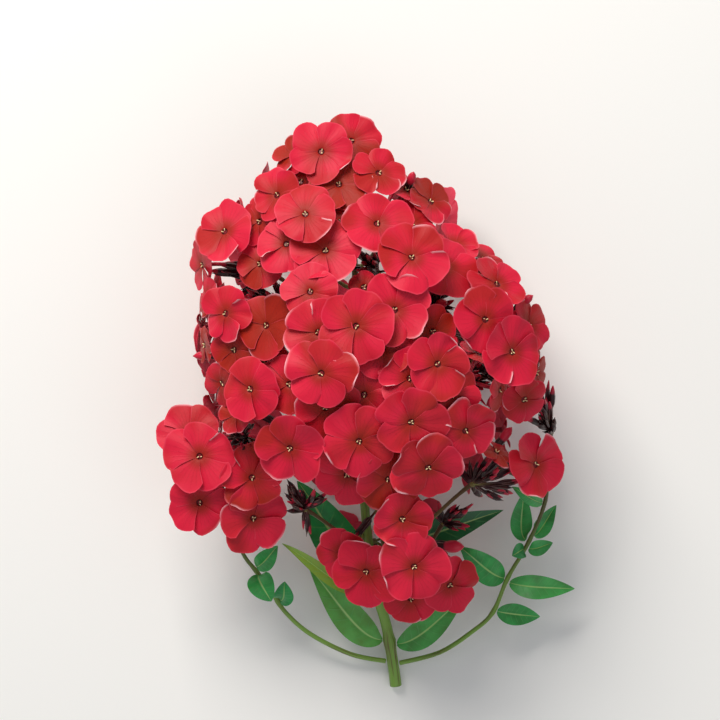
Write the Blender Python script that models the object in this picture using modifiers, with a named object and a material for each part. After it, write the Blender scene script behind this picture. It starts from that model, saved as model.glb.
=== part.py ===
"""Phlox plant: one cut flowering shoot lying on a surface.

The shoot lies along Y, with its cut end at -Y and the tip of its head at +Y. Z is up from the surface.
"""

import math

import bmesh
import bpy
from mathutils import Vector

# The placing tables count in steps: x to the right, y towards the cut end. The origin is at the middle steps.
STEP = 0.00043
MIDDLE_X = 371
MIDDLE_Y = 410

# The main stem
STEM_BASE_RADIUS = 0.0027
STEM_TIP_RADIUS = 0.0012
SIDE_BASE_RADIUS = 0.0011
SIDE_TIP_RADIUS = 0.0008
GAP = 0.0003

# One flower
TUBE_LENGTH = 0.019
CALYX_LENGTH = 0.008
TUBE_RADIUS = 0.0009
CALYX_RADIUS = 0.0016
PEDICEL_RADIUS = 0.0007
PEDUNCLE_RADIUS = 0.0009
HUB_RADIUS = 0.0016
LIMB_THICKNESS = 0.0009
LIMB_SHARE = 0.90
NOTCH_SHARE = 0.93
LIMB_CLEARANCE = 0.0012
LIMB_DEPTH = 0.032

# The head
DOME_SHARE = 0.86
LEAN_SHARE = 0.72
LEAN_LIMIT = 42.0
LAYER_DROP = 0.0035

LEAF_THICKNESS = 0.0006

# Stem paths: steps across, steps along, and height above the surface in millimetres.
MAIN_STEM = [
    (398, 705, 2.7),
    (395, 682, 5),
    (388, 640, 16),
    (377, 600, 29),
    (369, 550, 40),
    (364, 500, 46),
    (361, 450, 49),
    (358, 380, 50),
    (356, 300, 50),
    (353, 230, 50),
    (350, 178, 50),
]
LEFT_STEM = [
    (387, 678, 6),
    (350, 670, 9),
    (308, 648, 14),
    (282, 624, 20),
    (268, 602, 24),
    (252, 580, 27),
    (238, 560, 31),
    (225, 520, 36),
    (216, 484, 38),
]
RIGHT_STEM = [
    (402, 680, 6),
    (444, 668, 10),
    (478, 645, 15),
    (499, 624, 20),
    (514, 587, 26),
    (536, 547, 32),
    (552, 505, 36),
    (555, 463, 39),
]

# The head's outline: steps along, left edge, right edge.
OUTLINE = [
    (100, 342, 356),
    (150, 260, 402),
    (200, 232, 458),
    (250, 194, 494),
    (300, 190, 546),
    (350, 190, 554),
    (400, 194, 554),
    (450, 204, 520),
    (500, 262, 482),
    (550, 300, 484),
    (630, 310, 492),
]

# Flowers: x, y, radius, roll in degrees, layer, and for some the lean in degrees and the way it leans.
CYMES = {
    "cyme_top": [
        (321, 151, 32, 63, 3, 14, 110), (351, 138, 29, 28, 2, 16, 85), (292, 152, 23, 10, 0, 44, 140)],
    "cyme_top_left": [(277, 196, 28, 40, 2, 34, 150), (306, 216, 31, 82, 3), (300, 180, 21, 30, -3)],
    "cyme_top_middle": [(339, 184, 32, 25, 2), (379, 172, 28, 79, 2), (340, 222, 24, 15, -3)],
    "cyme_top_right": [
        (407, 188, 25, 20, 1, 62, 50), (432, 200, 26, 50, 1, 46, 40), (412, 224, 28, 40, -3)],
    "cyme_upper_left": [(287, 245, 31, 21, 1), (326, 252, 33, 20, 2), (259, 222, 25, 10, -1, 36, 165)],
    "cyme_upper_middle": [(377, 225, 34, 22, 2), (411, 259, 36, 46, 3)],
    "cyme_upper_right": [
        (446, 268, 34, 8, 2), (455, 244, 27, 30, 1, 48, 75), (485, 258, 24, 15, 0, 56, 60)],
    "cyme_shoulder_left": [
        (224, 231, 31, 55, 3, 32, 140), (199, 264, 26, 30, 1, 66, 190), (206, 298, 20, 5, 0, 60, 170)],
    "cyme_left": [
        (226, 314, 29, 70, 2), (267, 326, 32, 48, 1), (260, 264, 26, 25, -3), (234, 350, 24, 30, -2)],
    "cyme_centre_left": [(311, 293, 28, 16, 2), (319, 333, 34, 63, 2)],
    "cyme_centre": [(356, 327, 38, 3, 3), (394, 311, 36, 42, 2), (364, 288, 16, 10, -3)],
    "cyme_centre_right": [
        (382, 349, 30, 12, 1), (436, 364, 33, 8, 3), (409, 378, 31, 14, 2), (401, 386, 33, 44, 0)],
    "cyme_right": [(484, 320, 33, 40, 3), (511, 352, 33, 5, 3), (497, 284, 32, 50, 2)],
    "cyme_right_edge": [
        (530, 325, 28, 45, 1, 44, 20), (539, 373, 22, 30, 0, 62, 0), (525, 400, 24, 14, 2, 36, 320)],
    "cyme_lower_right": [(451, 395, 30, 62, 2), (464, 430, 31, 40, 3)],
    "cyme_middle_left": [(251, 389, 32, 24, 3), (290, 384, 32, 24, 0), (266, 362, 27, 5, -3)],
    "cyme_left_edge": [(202, 345, 20, 20, 0, 70, 185), (221, 384, 24, 50, 1, 52, 205)],
    "cyme_middle": [(322, 373, 35, 4, 3), (326, 407, 33, 40, 1), (364, 394, 27, 50, 0)],
    "cyme_lower_middle": [(359, 440, 37, 56, 3), (347, 475, 34, 65, 1), (291, 447, 35, 24, 3)],
    "cyme_lower_centre": [(410, 421, 36, 71, 3), (387, 434, 26, 20, 0)],
    "cyme_low_right": [(427, 466, 36, 4, 3), (388, 478, 34, 26, 1)],
    "cyme_low_middle": [(402, 518, 30, 12, 1), (341, 557, 28, 50, 0)],
    "cyme_base_left": [(366, 575, 37, 45, 2), (414, 566, 37, 3, 3)],
    "cyme_base_right": [(452, 590, 32, 15, 2), (412, 604, 29, 40, 0)],
}

# A peduncle that leaves the stem elsewhere than the rule says, to pass clear of its neighbour.
LEAVE_AT = {"cyme_low_right": 497}

# The side heads' flowers sit on a low round cap: middle x, middle y, reach in steps, foot and rise in mm.
CAPS = {
    "left": (214, 474, 88, 44, 26),
    "right": (530, 462, 60, 44, 22),
}
SIDE_CYMES = {
    "side_cyme_left": ("left", [(198, 457, 36, 13, 3), (186, 436, 31, 36, 2), (197, 505, 31, 0, 1)]),
    "side_cyme_middle": ("left", [(251, 479, 34, 21, 2), (252, 521, 37, 30, 1)]),
    "side_cyme_right": ("right", [(539, 466, 34, 45, 3, 38, 5)]),
}

# Closed buds and spent calyces: stem, where the branch leaves it, the hub, then each tip (x, y, height in mm)
# and how plump the bud is, if it is an older one.
BUDS = {
    "buds_right_gap": ("main", 556, (474, 486, 62), [
        (492, 455, 72), (506, 458, 66), (520, 468, 60), (525, 484, 56), (517, 497, 50), (500, 470, 78),
        (486, 500, 46), (458, 466, 60), (514, 428, 66, 1.3)]),
    "buds_low_right": ("main", 614, (446, 528, 41), [
        (470, 513, 57), (459, 508, 50), (473, 531, 46), (440, 507, 43)]),
    "buds_right_edge": ("right", 457, (556, 434, 48), [
        (553, 402, 60), (557, 386, 56), (536, 398, 70), (556, 424, 58), (528, 420, 66), (538, 392, 44)]),
    "buds_middle_gap": ("main", 444, (466, 380, 62), [
        (450, 340, 86), (460, 356, 90), (488, 366, 84), (482, 402, 66), (466, 404, 80),
        (478, 375, 86), (490, 378, 78), (484, 390, 76)]),
    "buds_upper_gap": ("main", 330, (430, 306, 72), [
        (420, 288, 92), (440, 292, 90), (454, 300, 84), (448, 316, 82), (410, 300, 92), (431, 287, 86),
        (446, 303, 90, 1.3), (424, 299, 94)]),
    "buds_left_gap": ("main", 470, (244, 440, 62), [
        (222, 418, 70), (232, 424, 78), (250, 424, 80), (219, 440, 66), (226, 454, 60), (240, 402, 72, 1.3),
        (234, 438, 78), (241, 450, 74), (228, 446, 72)]),
    "buds_low_left": ("main", 540, (304, 512, 60), [
        (286, 486, 66), (298, 490, 74), (314, 490, 76), (290, 506, 70), (324, 500, 74), (310, 538, 56)]),
}
# Buds that stand between the flowers of a cyme.
GAP_BUDS = {
    "cyme_shoulder_left": [(214, 262, 66), (219, 270, 62), (207, 269, 60), (226, 275, 60)],
    "cyme_upper_middle": [
        (358, 250, 96), (366, 256, 98), (361, 263, 94), (373, 262, 97), (356, 270, 92), (369, 268, 95)],
    "cyme_left": [(277, 284, 86), (266, 291, 88), (253, 285, 86), (246, 294, 80)],
    "cyme_base_left": [(466, 550, 60, 1.7)],
    "cyme_right_edge": [(534, 295, 78, 1.2)],
    "cyme_top_right": [(414, 171, 80, 1.2)],
    "cyme_left_edge": [(190, 356, 62, 1.2)],
}
# Flowers seen from the side that grow among those buds.
BUD_FLOWERS = {
    "buds_right_gap": [(498, 452, 20, 10, 0, 66, 55)],
    "buds_middle_gap": [(500, 390, 21, 10, 0, 64, 345), (478, 352, 20, 30, 0, 58, 65)],
    "buds_upper_gap": [(432, 332, 26, 20, -3)],
    "buds_left_gap": [(236, 414, 20, 10, -3, 40, 160)],
}

# The underside: where along the head each cyme sits, and its flowers as angle round the stem, shift along,
# and for some how far they turn towards the tip.
UNDERSIDE = {
    "under_cyme_top_left": (-1, 205, [(112, -20), (150, 22), (124, 52), (98, 16)]),
    "under_cyme_top_right": (1, 215, [(118, -4), (152, 30), (112, 60), (130, -64, 45)]),
    "under_cyme_upper_left": (-1, 320, [(108, -26), (134, -8), (166, -20), (108, 30), (96, 4)]),
    "under_cyme_upper_right": (1, 330, [(108, -20), (134, 10), (168, -10), (106, 36), (94, 8)]),
    "under_cyme_lower_left": (-1, 430, [(108, -22), (136, 4), (166, 40), (112, 34), (96, 8)]),
    "under_cyme_lower_right": (1, 440, [(108, -20), (136, 12), (166, 52), (112, 30), (98, -8)]),
    "under_cyme_base": (1, 545, [(136, -12), (118, 42), (198, 2, -20), (160, 48, -35)]),
}
UNDER_RADIUS = 30

# Leaves: stem, where they leave it, the tip (x, y, height in mm), width in mm, and how far the blade arches.
LEAVES = {
    "leaf_head_low_left": ("main", 596, (280, 548, 50), 6, 4),
    "leaf_head_left": ("main", 572, (295, 485, 38), 19, 3),
    "leaf_head_right": ("main", 560, (509, 516, 30), 14, -6),
    "leaf_main_left": ("main", 655, (307, 578, 22), 14, 6),
    "leaf_main_right": ("main", 660, (470, 606, 26), 12, 7),
    "leaf_left_node_inner": ("left", 577, (275, 552, 38), 8, 3),
    "leaf_left_node_outer": ("left", 583, (268, 610, 33), 11, 5),
    "leaf_left_low": ("left", 612, (282, 590, 32), 8, 3),
    "leaf_right_hanging": ("right", 549, (530, 497, 29), 9, -4),
    "leaf_right_upper": ("right", 541, (564, 511, 30), 7, -3),
    "leaf_right_small": ("right", 554, (560, 550, 30), 6, 2),
    "leaf_right_front": ("right", 556, (517, 562, 40), 6, 3),
    "leaf_right_top": ("right", 508, (516, 490, 50), 5, 3),
    "leaf_right_inner": ("right", 588, (463, 553, 40), 12, 6),
    "leaf_right_outer": ("right", 591, (584, 599, 22), 10, 5),
    "leaf_right_low_outer": ("right", 622, (549, 630, 12), 9, 3),
}


def spot(x, y, height):
    """The point at a pair of steps and a height in metres."""
    return Vector(((x - MIDDLE_X) * STEP, (MIDDLE_Y - y) * STEP, height))


def material(name, colour, roughness):
    """A matt plant surface in one colour."""
    made = bpy.data.materials.new(name)
    made.use_nodes = True
    shader = made.node_tree.nodes["Principled BSDF"]
    shader.inputs["Base Color"].default_value = (*colour, 1.0)
    shader.inputs["Roughness"].default_value = roughness
    shader.inputs["Metallic"].default_value = 0.0
    return made


def put(name, mesh, collection, look):
    """An object of a mesh, with its own material."""
    made = bpy.data.objects.new(name, mesh)
    collection.objects.link(made)
    mesh.materials.clear()
    mesh.materials.append(look)
    return made


def catmull(points, shares):
    """Points on a smooth line through the given ones, at the given shares of each span."""
    line = []
    for i in range(len(points) - 1):
        a = points[max(i - 1, 0)]
        b = points[i]
        c = points[i + 1]
        d = points[min(i + 2, len(points) - 1)]
        for t in shares:
            line.append(0.5 * (2 * b + (c - a) * t + (2 * a - 5 * b + 4 * c - d) * t * t
                               + (3 * b - a - 3 * c + d) * t ** 3))
    return line + [points[-1]]


def stem_line(rows, base, tip):
    """A stem's smooth axis as (point, radius) pairs, thinning from base to tip."""
    line = catmull([spot(x, y, z * 0.001) for x, y, z in rows], (0.0, 0.5))
    last = len(line) - 1
    return [(p, base + (tip - base) * i / last) for i, p in enumerate(line)]


def at_row(line, y):
    """The axis point, direction and radius of a stem where it passes the steps y."""
    level = (MIDDLE_Y - y) * STEP
    for (p, r), (q, s) in zip(line, line[1:]):
        if p.y <= level <= q.y:
            t = (level - p.y) / (q.y - p.y)
            return p.lerp(q, t), (q - p).normalized(), r + (s - r) * t
    end = 0 if level < line[0][0].y else -1
    other = 1 if end == 0 else -2
    way = (line[other][0] - line[end][0]).normalized()
    return line[end][0].copy(), way if end == 0 else -way, line[end][1]


def between(rows, y):
    """The row of a table read at y, straight between its lines."""
    for low, high in zip(rows, rows[1:]):
        if low[0] <= y <= high[0]:
            t = (y - low[0]) / (high[0] - low[0])
            return [a + (b - a) * t for a, b in zip(low, high)]
    return list(rows[0] if y < rows[0][0] else rows[-1])


def dome(x, y, stem):
    """The height of the flowers' common surface over a spot, in metres."""
    if stem != "main":
        mx, my, reach, foot, rise = CAPS[stem]
        part = min(((x - mx) ** 2 + (y - my) ** 2) / reach ** 2, 1.0)
        return (foot + rise * math.sqrt(1.0 - part)) * 0.001
    _, left, right = between(OUTLINE, y)
    half = (right - left) / 2
    across = min(abs(x - (left + right) / 2), half)
    axis = at_row(LINES["main"], y)[0].z
    return axis + DOME_SHARE * STEP * math.sqrt(half * half - across * across)


def facing(x, y, stem):
    """The way a flower faces: out of the common surface, but turned back towards straight up."""
    d = 12
    slope_x = (dome(x + d, y, stem) - dome(x - d, y, stem)) / (2 * d * STEP)
    slope_y = (dome(x, y - d, stem) - dome(x, y + d, stem)) / (2 * d * STEP)
    slope = math.hypot(slope_x, slope_y)
    lean = min(LEAN_SHARE * math.atan(slope), math.radians(LEAN_LIMIT))
    if slope < 1e-6:
        return Vector((0, 0, 1))
    return Vector((-slope_x / slope * math.sin(lean), -slope_y / slope * math.sin(lean), math.cos(lean)))


def flower(row, stem):
    """A flower's limb from its table row: middle, facing, radius, roll and layer."""
    x, y, radius, roll, layer = row[:5]
    if len(row) == 7:
        lean, toward = math.radians(row[5]), math.radians(row[6])
        way = Vector((math.cos(toward) * math.sin(lean), math.sin(toward) * math.sin(lean), math.cos(lean)))
    else:
        way = facing(x, y, stem)
    height = dome(x, y, stem) - LAYER_DROP * (3 - layer) / 3
    return {"middle": spot(x, y, height), "way": way, "radius": radius * STEP, "roll": math.radians(roll),
            "layer": layer}


def rim(limb, share, count=12):
    """Points round a limb at a share of its radius."""
    way = limb["way"]
    side = Vector((1, 0, 0)) - way * way.x
    side.normalize()
    other = way.cross(side)
    turn = 2 * math.pi / count
    return [limb["middle"] + (side * math.cos(k * turn) + other * math.sin(k * turn)) * limb["radius"] * share
            for k in range(count)]


def lift_over(limb, below):
    """How far a limb must rise to lie clear on top of one below it."""
    need = 0.0
    for upper, lower in ((limb, below), (below, limb)):
        for point in rim(upper, 1.0) + rim(upper, 0.5) + [upper["middle"]]:
            way = lower["way"]
            flat = point - lower["middle"]
            level = -(way.x * flat.x + way.y * flat.y) / way.z
            foot = Vector((flat.x, flat.y, level))
            if foot.length < lower["radius"]:
                above = flat.z - level
                need = max(need, LIMB_CLEARANCE / way.z - (above if upper is limb else -above))
    return need


def stack(limbs):
    """Lift the limbs, back layer first, until each lies over the ones behind it."""
    placed = []
    for limb in sorted(limbs, key=lambda one: one["layer"]):
        if limb["way"].z > 0.7:
            rise = max([lift_over(limb, one) for one in placed] + [0.0])
            limb["middle"].z += rise
            placed.append(limb)


def bezier(a, b, c, d, t):
    """The point and direction at t on a cubic curve."""
    s = 1 - t
    point = a * s ** 3 + b * 3 * s * s * t + c * 3 * s * t * t + d * t ** 3
    way = (b - a) * s * s + (c - b) * 2 * s * t + (d - c) * t * t
    return point, way.normalized()


def ring(bm, centre, way, guide, radii):
    """A ring of vertices round a point, square to a direction, with one radius for each vertex."""
    side = (guide - way * guide.dot(way)).normalized()
    other = way.cross(side)
    count = len(radii)
    made = []
    for k, radius in enumerate(radii):
        angle = 2 * math.pi * k / count
        made.append(bm.verts.new(centre + (side * math.cos(angle) + other * math.sin(angle)) * radius))
    return made


def band(bm, one, two):
    """The faces between two rings of the same count."""
    for k in range(len(one)):
        nxt = (k + 1) % len(one)
        bm.faces.new((one[k], one[nxt], two[nxt], two[k]))


def closed(bm, name):
    """A mesh of triangles with its faces pointing out."""
    bmesh.ops.triangulate(bm, faces=bm.faces[:])
    bmesh.ops.recalc_face_normals(bm, faces=bm.faces[:])
    mesh = bpy.data.meshes.new(name)
    bm.to_mesh(mesh)
    bm.free()
    return mesh


def petal_guide(limb):
    """The direction of the middle of a limb's first petal."""
    way = limb["way"]
    side = Vector((1, 0, 0)) - way * way.x
    side.normalize()
    return side * math.cos(limb["roll"]) + way.cross(side) * math.sin(limb["roll"])


def flower_mesh(name, hub, limb):
    """Pedicel, calyx, tube and five-lobed limb in one loft, from the hub to the limb's face."""
    end = limb["middle"] - limb["way"] * LIMB_THICKNESS
    span = (end - hub).length
    first = hub + (end - hub).normalized() * span * 0.3
    second = end - limb["way"] * span * 0.42
    tube = min(TUBE_LENGTH, span * 0.55) / span
    calyx = min(CALYX_LENGTH, span * 0.25) / span
    guide = petal_guide(limb)
    bm = bmesh.new()
    profile = [
        (0.0, PEDICEL_RADIUS),
        (max(1 - tube - calyx, 0.1), PEDICEL_RADIUS),
        (1 - tube - calyx * 0.5, CALYX_RADIUS),
        (1 - tube, CALYX_RADIUS * 0.8),
        (1.0, TUBE_RADIUS * 1.2),
    ]
    rings = []
    for t, radius in profile:
        point, way = bezier(hub, first, second, end, t)
        rings.append(ring(bm, point, way, guide, [radius] * 5))
    for one, two in zip(rings, rings[1:]):
        band(bm, one, two)
    bm.faces.new(rings[0])
    wide = limb["radius"] * LIMB_SHARE
    lobes = [wide, wide * NOTCH_SHARE] * 5
    way = limb["way"]
    back = ring(bm, limb["middle"] - way * LIMB_THICKNESS * 0.7, way, guide, [r * 0.95 for r in lobes])
    front = ring(bm, limb["middle"], way, guide, lobes)
    throat = rings[-1]
    for k in range(5):
        bm.faces.new((throat[k], back[2 * k - 1], back[2 * k]))
        bm.faces.new((throat[k], back[2 * k], back[2 * k + 1]))
        bm.faces.new((throat[k], back[2 * k + 1], throat[(k + 1) % 5]))
    band(bm, back, front)
    eye = bm.verts.new(limb["middle"] - way * 0.0002)
    for k in range(10):
        bm.faces.new((eye, front[k], front[(k + 1) % 10]))
    return closed(bm, name)


def bud_mesh(name, hub, tip, plump=1.0):
    """Pedicel, calyx and the closed pointed bud in it, from the hub to the tip, plumper for an older bud."""
    tip = spot(tip[0], tip[1], tip[2] * 0.001)
    span = (tip - hub).length
    way = (tip - hub).normalized()
    guide = Vector((0.3, 0.5, 0.81))
    bm = bmesh.new()
    rings = []
    for back, radius in (
            (span, PEDICEL_RADIUS),
            (min(0.011 * plump, span * 0.7), PEDICEL_RADIUS),
            (min(0.007 * plump, span * 0.5), CALYX_RADIUS * plump),
            (min(0.003 * plump, span * 0.2), CALYX_RADIUS * 0.7 * plump)):
        rings.append(ring(bm, tip - way * back, way, guide, [radius] * 5))
    for one, two in zip(rings, rings[1:]):
        band(bm, one, two)
    bm.faces.new(rings[0])
    point = bm.verts.new(tip)
    for k in range(5):
        bm.faces.new((point, rings[-1][k], rings[-1][(k + 1) % 5]))
    return closed(bm, name)


def rod_mesh(name, points, radii, sides):
    """A round rod along points, made from a bevelled curve and welded at its caps."""
    curve = bpy.data.curves.new(name, "CURVE")
    curve.dimensions = "3D"
    curve.bevel_depth = 1.0
    curve.bevel_resolution = sides
    curve.use_fill_caps = True
    spline = curve.splines.new("POLY")
    spline.points.add(len(points) - 1)
    for cell, point, radius in zip(spline.points, points, radii):
        cell.co = (*point, 1.0)
        cell.radius = radius
    holder = bpy.data.objects.new(name, curve)
    bpy.context.scene.collection.objects.link(holder)
    bpy.context.view_layer.update()
    seen = holder.evaluated_get(bpy.context.evaluated_depsgraph_get())
    mesh = bpy.data.meshes.new_from_object(seen)
    bpy.data.objects.remove(holder)
    bm = bmesh.new()
    bm.from_mesh(mesh)
    bmesh.ops.remove_doubles(bm, verts=bm.verts[:], dist=1e-6)
    bmesh.ops.recalc_face_normals(bm, faces=bm.faces[:])
    bm.to_mesh(mesh)
    bm.free()
    return mesh


def foot_on(line, y, toward):
    """Where a branch starts, a hair off a stem's skin, and the way it leaves the stem."""
    axis, way, radius = at_row(line, y)
    out = toward - axis
    out -= way * out.dot(way)
    out.normalize()
    return axis + out * (radius + GAP + 0.0002), out


def cyme(name, line, leave, hub, limbs, tips, look):
    """One cyme: a peduncle from the stem to its hub, and every flower and bud from the hub, as one solid."""
    start, out = foot_on(line, leave, hub)
    span = (hub - start).length
    path = [start]
    for t in (0.2, 0.45, 0.72, 1.0):
        path.append(bezier(start, start + out * span * 0.3, hub - (hub - start) * 0.35, hub, t)[0])
    radii = [PEDUNCLE_RADIUS] * len(path)
    bm = bmesh.new()
    bmesh.ops.create_icosphere(bm, subdivisions=1, radius=HUB_RADIUS)
    bmesh.ops.translate(bm, verts=bm.verts[:], vec=hub)
    base = put(name, closed(bm, name), parts, look)
    pieces = [rod_mesh(name + "_peduncle", path, radii, 0)]
    for k, limb in enumerate(limbs):
        pieces.append(flower_mesh(f"{name}_flower_{k + 1}", hub, limb))
    for k, tip in enumerate(tips):
        pieces.append(bud_mesh(f"{name}_bud_{k + 1}", hub, tip[:3], *tip[3:]))
    for mesh in pieces:
        branch = put(mesh.name, mesh, cutters, look)
        branch.hide_render = True
        branch.display_type = "WIRE"
        union = base.modifiers.new(mesh.name, "BOOLEAN")
        union.operation = "UNION"
        union.object = branch
    return base


def hub_of(limbs, line):
    """The point where the pedicels of a group of flowers meet, behind them and a little towards the stem."""
    back = sum((one["middle"] - one["way"] * LIMB_DEPTH for one in limbs), Vector()) / len(limbs)
    axis, _, radius = at_row(line, MIDDLE_Y - back.y / STEP)
    away = back - axis
    room = max(away.length * 0.9, radius + 0.006)
    hub = axis + away.normalized() * room
    hub.z = max(hub.z, 0.006)
    return hub


def leave_row(limbs, stem, reach):
    """Where a peduncle leaves its stem: lower down than its flowers, the more so the further out they are."""
    middle = sum((one["middle"] for one in limbs), Vector()) / len(limbs)
    y = MIDDLE_Y - middle.y / STEP
    axis = at_row(LINES[stem], y)[0]
    out = math.hypot(middle.x - axis.x, middle.z - axis.z) / STEP
    return y + reach * out


def leaf(name, line, leave, tip, width, arch, look):
    """A lance-shaped blade folded along its midrib, as a grid with thickness."""
    end = spot(tip[0], tip[1], tip[2] * 0.001)
    start, out = foot_on(line, leave, end)
    start += out * 0.0004
    span = (end - start).length
    first = start + out * span * 0.25 + Vector((0, 0, arch * 0.001))
    second = end - (end - start) * 0.35 + Vector((0, 0, arch * 0.001))
    bm = bmesh.new()
    bmesh.ops.create_grid(bm, x_segments=2, y_segments=6, size=1.0)
    for vert in bm.verts:
        t = (vert.co.y + 1) / 2
        point, way = bezier(start, first, second, end, t)
        side = way.cross(Vector((0, 0, 1))).normalized()
        up = side.cross(way)
        half = 0.0007 + width * 0.0005 * math.sin(math.pi * t ** 0.85) ** 0.9 * (1 - 0.15 * t)
        vert.co = point + side * vert.co.x * half + up * abs(vert.co.x) * half * 0.28
    mesh = bpy.data.meshes.new(name)
    bm.to_mesh(mesh)
    bm.free()
    made = put(name, mesh, parts, look)
    skin = made.modifiers.new("thickness", "SOLIDIFY")
    skin.thickness = LEAF_THICKNESS
    skin.offset = 0.0
    return made


def under_flower(side, row, angle, shift, ahead=0):
    """A flower on the hidden side: it faces out from the stem and lies on the surface if it gets that far."""
    y = row + shift
    axis = at_row(LINES["main"], y)[0]
    _, left, right = between(OUTLINE, y)
    half = (right - left) / 2 * STEP * 0.9
    turn = math.radians(angle)
    out = Vector((side * math.sin(turn), 0, math.cos(turn)))
    reach = min(half, (axis.z - 0.004) / max(-math.cos(turn), 0.05))
    way = out * math.cos(math.radians(ahead)) + Vector((0, math.sin(math.radians(ahead)), 0))
    limb = {"middle": axis + out * reach, "way": way, "radius": UNDER_RADIUS * STEP,
            "roll": math.radians(angle * 3 + row), "layer": 3}
    low = min(point.z for point in rim(limb, LIMB_SHARE, 10))
    if low < 0.006:
        limb["middle"].z -= low
    return limb


for old in list(bpy.data.objects):
    bpy.data.objects.remove(old)
parts = bpy.data.collections.new("phlox")
cutters = bpy.data.collections.new("phlox_branches")
bpy.context.scene.collection.children.link(parts)
bpy.context.scene.collection.children.link(cutters)

PETAL_RED = (0.62, 0.02, 0.045)
STEM_GREEN = (0.16, 0.26, 0.05)
LEAF_GREEN = (0.03, 0.19, 0.05)
CALYX_MAROON = (0.07, 0.012, 0.014)

LINES = {
    "main": stem_line(MAIN_STEM, STEM_BASE_RADIUS, STEM_TIP_RADIUS),
    "left": stem_line(LEFT_STEM, SIDE_BASE_RADIUS, SIDE_TIP_RADIUS),
    "right": stem_line(RIGHT_STEM, SIDE_BASE_RADIUS, SIDE_TIP_RADIUS),
}
for stem, line in LINES.items():
    look = material("stem_" + stem, STEM_GREEN, 0.55)
    mesh = rod_mesh("stem_" + stem, [p for p, _ in line], [r for _, r in line], 2)
    put("stem_" + stem, mesh, parts, look)

groups = {name: ("main", [flower(row, "main") for row in rows]) for name, rows in CYMES.items()}
for name, (stem, rows) in SIDE_CYMES.items():
    groups[name] = (stem, [flower(row, stem) for row in rows])
stack([limb for _, limbs in groups.values() for limb in limbs])
for name, (side, row, places) in UNDERSIDE.items():
    groups[name] = ("main", [under_flower(side, row, *place) for place in places])

for name, (stem, limbs) in groups.items():
    look = material(name, PETAL_RED, 0.5)
    leave = LEAVE_AT.get(name, leave_row(limbs, stem, 0.35))
    hub = hub_of(limbs, LINES[stem])
    cyme(name, LINES[stem], leave, hub, limbs, GAP_BUDS.get(name, []), look)
for name, (stem, leave, place, tips) in BUDS.items():
    look = material(name, CALYX_MAROON, 0.5)
    hub = spot(place[0], place[1], place[2] * 0.001)
    sides = [flower(row, stem) for row in BUD_FLOWERS.get(name, [])]
    cyme(name, LINES[stem], leave, hub, sides, tips, look)
for name, (stem, leave, tip, width, arch) in LEAVES.items():
    leaf(name, LINES[stem], leave, tip, width, arch, material(name, LEAF_GREEN, 0.45))
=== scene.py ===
"""A cut shoot of red garden phlox lying on a pale surface, seen from straight above.

The shoot's own axes: +Y runs from the cut end to the tip of the head, +Z points up from the surface.
Every surface is worked out with numpy as a grid of two parameters or as a profile carried along a path.
"""

import functools
from math import atan, cos, hypot, pi, radians, sin, sqrt
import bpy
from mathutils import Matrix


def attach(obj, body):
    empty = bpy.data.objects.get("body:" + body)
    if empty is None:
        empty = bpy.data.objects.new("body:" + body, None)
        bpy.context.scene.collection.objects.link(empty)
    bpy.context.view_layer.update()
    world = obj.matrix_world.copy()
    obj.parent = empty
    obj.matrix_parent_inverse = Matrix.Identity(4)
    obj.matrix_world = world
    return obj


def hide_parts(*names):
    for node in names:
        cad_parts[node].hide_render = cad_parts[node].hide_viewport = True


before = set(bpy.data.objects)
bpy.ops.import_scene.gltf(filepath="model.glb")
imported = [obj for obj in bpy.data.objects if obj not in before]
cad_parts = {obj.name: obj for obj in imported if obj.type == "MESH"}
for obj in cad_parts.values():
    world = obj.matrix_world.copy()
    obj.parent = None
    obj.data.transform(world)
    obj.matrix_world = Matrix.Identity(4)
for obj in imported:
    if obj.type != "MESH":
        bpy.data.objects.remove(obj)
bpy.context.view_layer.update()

from types import SimpleNamespace

import bpy
import numpy as np
from mathutils import Vector

# The placing tables count in steps: x to the right, y towards the cut end. The origin is at the middle.
STEP = 0.00043
MIDDLE_X = 371
MIDDLE_Y = 410
MM = 0.001

STEM_BASE_RADIUS = 0.0027
STEM_TIP_RADIUS = 0.0012
SIDE_BASE_RADIUS = 0.0011
SIDE_TIP_RADIUS = 0.0008
GAP = 0.0003

TUBE_LENGTH = 0.019
CALYX_LENGTH = 0.008
LIMB_THICKNESS = 0.0009
LIMB_SHARE = 0.90
LIMB_CLEARANCE = 0.0012
LIMB_DEPTH = 0.032

DOME_SHARE = 0.86
LEAN_SHARE = 0.72
LEAN_LIMIT = 42.0
LAYER_DROP = 0.0035
LOWEST = 0.006
LEAVE_SHARE = 0.35

# Each stem's path as steps across, steps along and height above the surface in millimetres, then its radius
# at the foot and at the tip, and the steps of its leaf nodes.
STEMS = {
    "main": ([
        (398, 705, 2.7), (395, 682, 5), (388, 640, 16), (377, 600, 29), (369, 550, 40), (364, 500, 46),
        (361, 450, 49), (358, 380, 50), (356, 300, 50), (353, 230, 50), (350, 178, 50),
    ], STEM_BASE_RADIUS, STEM_TIP_RADIUS, (596, 566, 657)),
    "left": ([
        (387, 678, 6), (350, 670, 9), (308, 648, 14), (282, 624, 20), (268, 602, 24), (252, 580, 27),
        (238, 560, 31), (225, 520, 36), (216, 484, 38),
    ], SIDE_BASE_RADIUS, SIDE_TIP_RADIUS, (580, 612)),
    "right": ([
        (402, 680, 6), (444, 668, 10), (478, 645, 15), (499, 624, 20), (514, 587, 26), (536, 547, 32),
        (552, 505, 36), (555, 463, 39),
    ], SIDE_BASE_RADIUS, SIDE_TIP_RADIUS, (549, 589, 622, 508)),
}

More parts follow.
